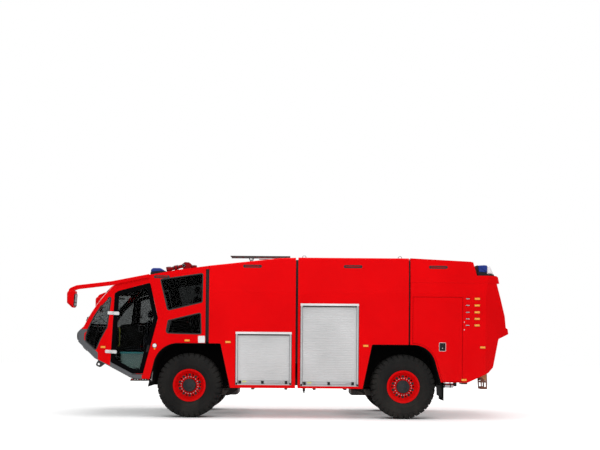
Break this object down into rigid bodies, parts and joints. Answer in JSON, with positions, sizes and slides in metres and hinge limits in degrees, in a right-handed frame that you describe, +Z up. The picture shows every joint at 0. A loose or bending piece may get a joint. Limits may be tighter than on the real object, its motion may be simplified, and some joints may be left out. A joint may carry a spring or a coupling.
{
  "type": "airport fire truck",
  "caption": "Airport crash tender on driven axles, with glazed cab, roof monitor, roller-shutter lockers and rear engine bay.",
  "frame": {"origin": "on the ground, midway along the overall length and on the centre line", "axes": "-X towards the front, +X towards the rear, -Y the driver's left side, +Z up"},
  "size_m": [9.3018, 3.12, 3.47],
  "materials": {
    "body_red": "gloss clear-coated paint",
    "trim_grey": "textured moulding",
    "black_metal": "semi-gloss black paint",
    "chassis_metal": "satin chassis paint",
    "window_glass": "tinted glass",
    "shutter_metal": "anodised slats",
    "rubber": "matt",
    "tyre": "matt tread",
    "wheel_red": "gloss paint",
    "axle_metal": "painted casting",
    "seat_cloth": "woven cloth",
    "dash_plastic": "grained moulding",
    "lamp": "clear moulded lenses",
    "beacon": "clear moulded lenses",
    "engine_iron": "painted casting"
  },
  "bodies": {
    "chassis": {"chassis_frame": "chassis_metal", "suspension": "chassis_metal", "front_axle": "axle_metal", "rear_axle": "axle_metal", "driveline": "axle_metal", "engine_block": "engine_iron", "front_body": "body_red", "mid_body": "body_red", "rear_body": "body_red", "roof_cap": "body_red", "rear_grille": "black_metal", "body_seals": "rubber", "arch_liners": "rubber", "cab_roof": "body_red", "cab_left_side": "body_red", "cab_right_side": "body_red", "cab_front": "body_red", "cab_floor": "trim_grey", "cab_rear_wall": "trim_grey", "front_bumper": "trim_grey", "windscreen": "window_glass", "cab_windows": "window_glass", "hinge_brackets": "shutter_metal", "dashboard": "dash_plastic", "steering_wheel": "dash_plastic", "seats": "seat_cloth", "mirrors": "body_red", "beacons": "beacon", "lamps": "lamp", "steps": "black_metal", "air_tanks": "black_metal", "shutter_frames": "shutter_metal", "tow_points": "black_metal", "roof_gear": "black_metal", "curtain_front_left": "shutter_metal", "curtain_front_right": "shutter_metal", "curtain_mid_left": "shutter_metal", "curtain_mid_right": "shutter_metal"},
    "knuckle_left": {"knuckle_left": "axle_metal"},
    "knuckle_right": {"knuckle_right": "axle_metal"},
    "door_left": {"door_left": "black_metal", "door_left_glass": "window_glass"},
    "door_right": {"door_right": "black_metal", "door_right_glass": "window_glass"},
    "flap_left": {"flap_left": "body_red"},
    "flap_right": {"flap_right": "body_red"},
    "monitor_swivel": {"monitor_swivel": "wheel_red"},
    "monitor_barrel": {"monitor_barrel": "wheel_red"},
    "shutter_front_left": {"shutter_rail_front_left": "shutter_metal"},
    "shutter_front_right": {"shutter_rail_front_right": "shutter_metal"},
    "shutter_mid_left": {"shutter_rail_mid_left": "shutter_metal"},
    "shutter_mid_right": {"shutter_rail_mid_right": "shutter_metal"},
    "wheel_front_left": {"wheel_front_left": "wheel_red", "tyre_front_left": "tyre"},
    "wheel_front_right": {"wheel_front_right": "wheel_red", "tyre_front_right": "tyre"},
    "wheel_rear_left": {"wheel_rear_left": "wheel_red", "tyre_rear_left": "tyre"},
    "wheel_rear_right": {"wheel_rear_right": "wheel_red", "tyre_rear_right": "tyre"}
  },
  "joints": [
    {"name": "steer_left", "type": "hinge", "parent": "chassis", "child": "knuckle_left", "pos_m": [-2.088, -1.015, 0.68], "axis": [0, 0, 1], "range_deg": [-28, 28]},
    {"name": "steer_right", "type": "hinge", "parent": "chassis", "child": "knuckle_right", "pos_m": [-2.088, 1.015, 0.68], "axis": [0, 0, 1], "range_deg": [-28, 28]},
    {"name": "spin_front_left", "type": "hinge", "parent": "knuckle_left", "child": "wheel_front_left", "pos_m": [-2.088, -1.185, 0.68], "axis": [0, 1, 0], "continuous": true},
    {"name": "spin_front_right", "type": "hinge", "parent": "knuckle_right", "child": "wheel_front_right", "pos_m": [-2.088, 1.185, 0.68], "axis": [0, 1, 0], "continuous": true},
    {"name": "spin_rear_left", "type": "hinge", "parent": "chassis", "child": "wheel_rear_left", "pos_m": [2.412, -1.185, 0.68], "axis": [0, 1, 0], "continuous": true},
    {"name": "spin_rear_right", "type": "hinge", "parent": "chassis", "child": "wheel_rear_right", "pos_m": [2.412, 1.185, 0.68], "axis": [0, 1, 0], "continuous": true},
    {"name": "door_left_swing", "type": "hinge", "parent": "chassis", "child": "door_left", "pos_m": [-3.7156, -1.49408, 1.78], "axis": [-0.0519, -0.024, -0.9984], "range_deg": [0, 75]},
    {"name": "door_right_swing", "type": "hinge", "parent": "chassis", "child": "door_right", "pos_m": [-3.7156, 1.49408, 1.78], "axis": [0.0519, -0.024, 0.9984], "range_deg": [0, 75]},
    {"name": "shutter_front_left_lift", "type": "slide", "parent": "chassis", "child": "shutter_front_left", "axis": [0, 0, 1], "range_m": [0, 0.95], "deforming": ["curtain_front_left"]},
    {"name": "shutter_front_right_lift", "type": "slide", "parent": "chassis", "child": "shutter_front_right", "axis": [0, 0, 1], "range_m": [0, 0.95], "deforming": ["curtain_front_right"]},
    {"name": "shutter_mid_left_lift", "type": "slide", "parent": "chassis", "child": "shutter_mid_left", "axis": [0, 0, 1], "range_m": [0, 1.57], "deforming": ["curtain_mid_left"]},
    {"name": "shutter_mid_right_lift", "type": "slide", "parent": "chassis", "child": "shutter_mid_right", "axis": [0, 0, 1], "range_m": [0, 1.57], "deforming": ["curtain_mid_right"]},
    {"name": "flap_left_lift", "type": "hinge", "parent": "chassis", "child": "flap_left", "pos_m": [3.117, -1.5, 2.573], "axis": [-1, 0, 0], "range_deg": [0, 85]},
    {"name": "flap_right_lift", "type": "hinge", "parent": "chassis", "child": "flap_right", "pos_m": [3.117, 1.5, 2.573], "axis": [1, 0, 0], "range_deg": [0, 85]},
    {"name": "monitor_yaw", "type": "hinge", "parent": "chassis", "child": "monitor_swivel", "pos_m": [-2.318, 0, 3.2], "axis": [0, 0, 1], "range_deg": [-90, 90]},
    {"name": "monitor_pitch", "type": "hinge", "parent": "monitor_swivel", "child": "monitor_barrel", "pos_m": [-2.378, 0, 3.305], "axis": [0, 1, 0], "range_deg": [0, 80]}
  ],
  "couplings": [
    {"joint": "steer_right", "follows": "steer_left", "ratio": 1}
  ]
}
